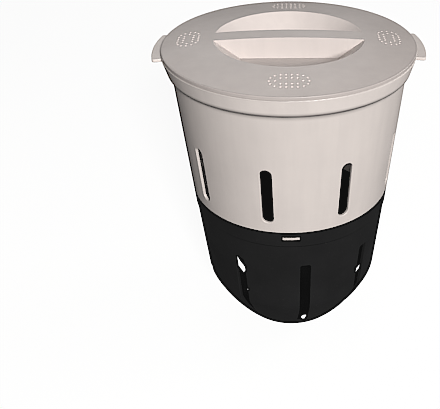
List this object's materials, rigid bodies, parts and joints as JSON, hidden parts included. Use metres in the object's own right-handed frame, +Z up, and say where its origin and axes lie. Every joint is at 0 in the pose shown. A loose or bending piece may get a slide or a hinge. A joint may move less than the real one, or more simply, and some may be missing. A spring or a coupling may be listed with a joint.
{
  "type": "in-ground compost bin",
  "caption": "Tapered two-piece slotted compost bin with lifting ears, a vented lift-off lid with a sunk grip bar, and spring catches that hold the bowl-ended lower bin.",
  "frame": {"origin": "middle of the flat base of the lower bin, on the floor", "axes": "+Z up along the bin's axis, front towards -Y, lifting ears on +X and -X, the lid's grip bar along X"},
  "size_m": [0.3006, 0.2812, 0.3878],
  "materials": {
    "greige_lid": "fine moulded texture, satin",
    "greige_shell": "fine moulded texture, satin",
    "black_shell": "fine moulded texture, matte"
  },
  "bodies": {
    "bin": {"upper_bin": "greige_shell", "lower_bin": "black_shell"},
    "lid": {"lid": "greige_lid"},
    "catch_front": {"catch_front": "greige_shell"},
    "catch_right": {"catch_right": "greige_shell"},
    "catch_back": {"catch_back": "greige_shell"},
    "catch_left": {"catch_left": "greige_shell"}
  },
  "joints": [
    {"name": "lid_lift", "type": "slide", "parent": "bin", "child": "lid", "axis": [0, 0, 1], "range_m": [0, 0.15]},
    {"name": "catch_front_press", "type": "hinge", "parent": "bin", "child": "catch_front", "pos_m": [0, -0.1135, 0.1642], "axis": [-1, 0, 0], "range_deg": [0, 8], "stiffness_Nm_per_rad": 2},
    {"name": "catch_right_press", "type": "hinge", "parent": "bin", "child": "catch_right", "pos_m": [0.1135, 0, 0.1642], "axis": [0, -1, 0], "range_deg": [0, 8], "stiffness_Nm_per_rad": 2},
    {"name": "catch_back_press", "type": "hinge", "parent": "bin", "child": "catch_back", "pos_m": [0, 0.1135, 0.1642], "axis": [1, 0, 0], "range_deg": [0, 8], "stiffness_Nm_per_rad": 2},
    {"name": "catch_left_press", "type": "hinge", "parent": "bin", "child": "catch_left", "pos_m": [-0.1135, 0, 0.1642], "axis": [0, 1, 0], "range_deg": [0, 8], "stiffness_Nm_per_rad": 2}
  ]
}
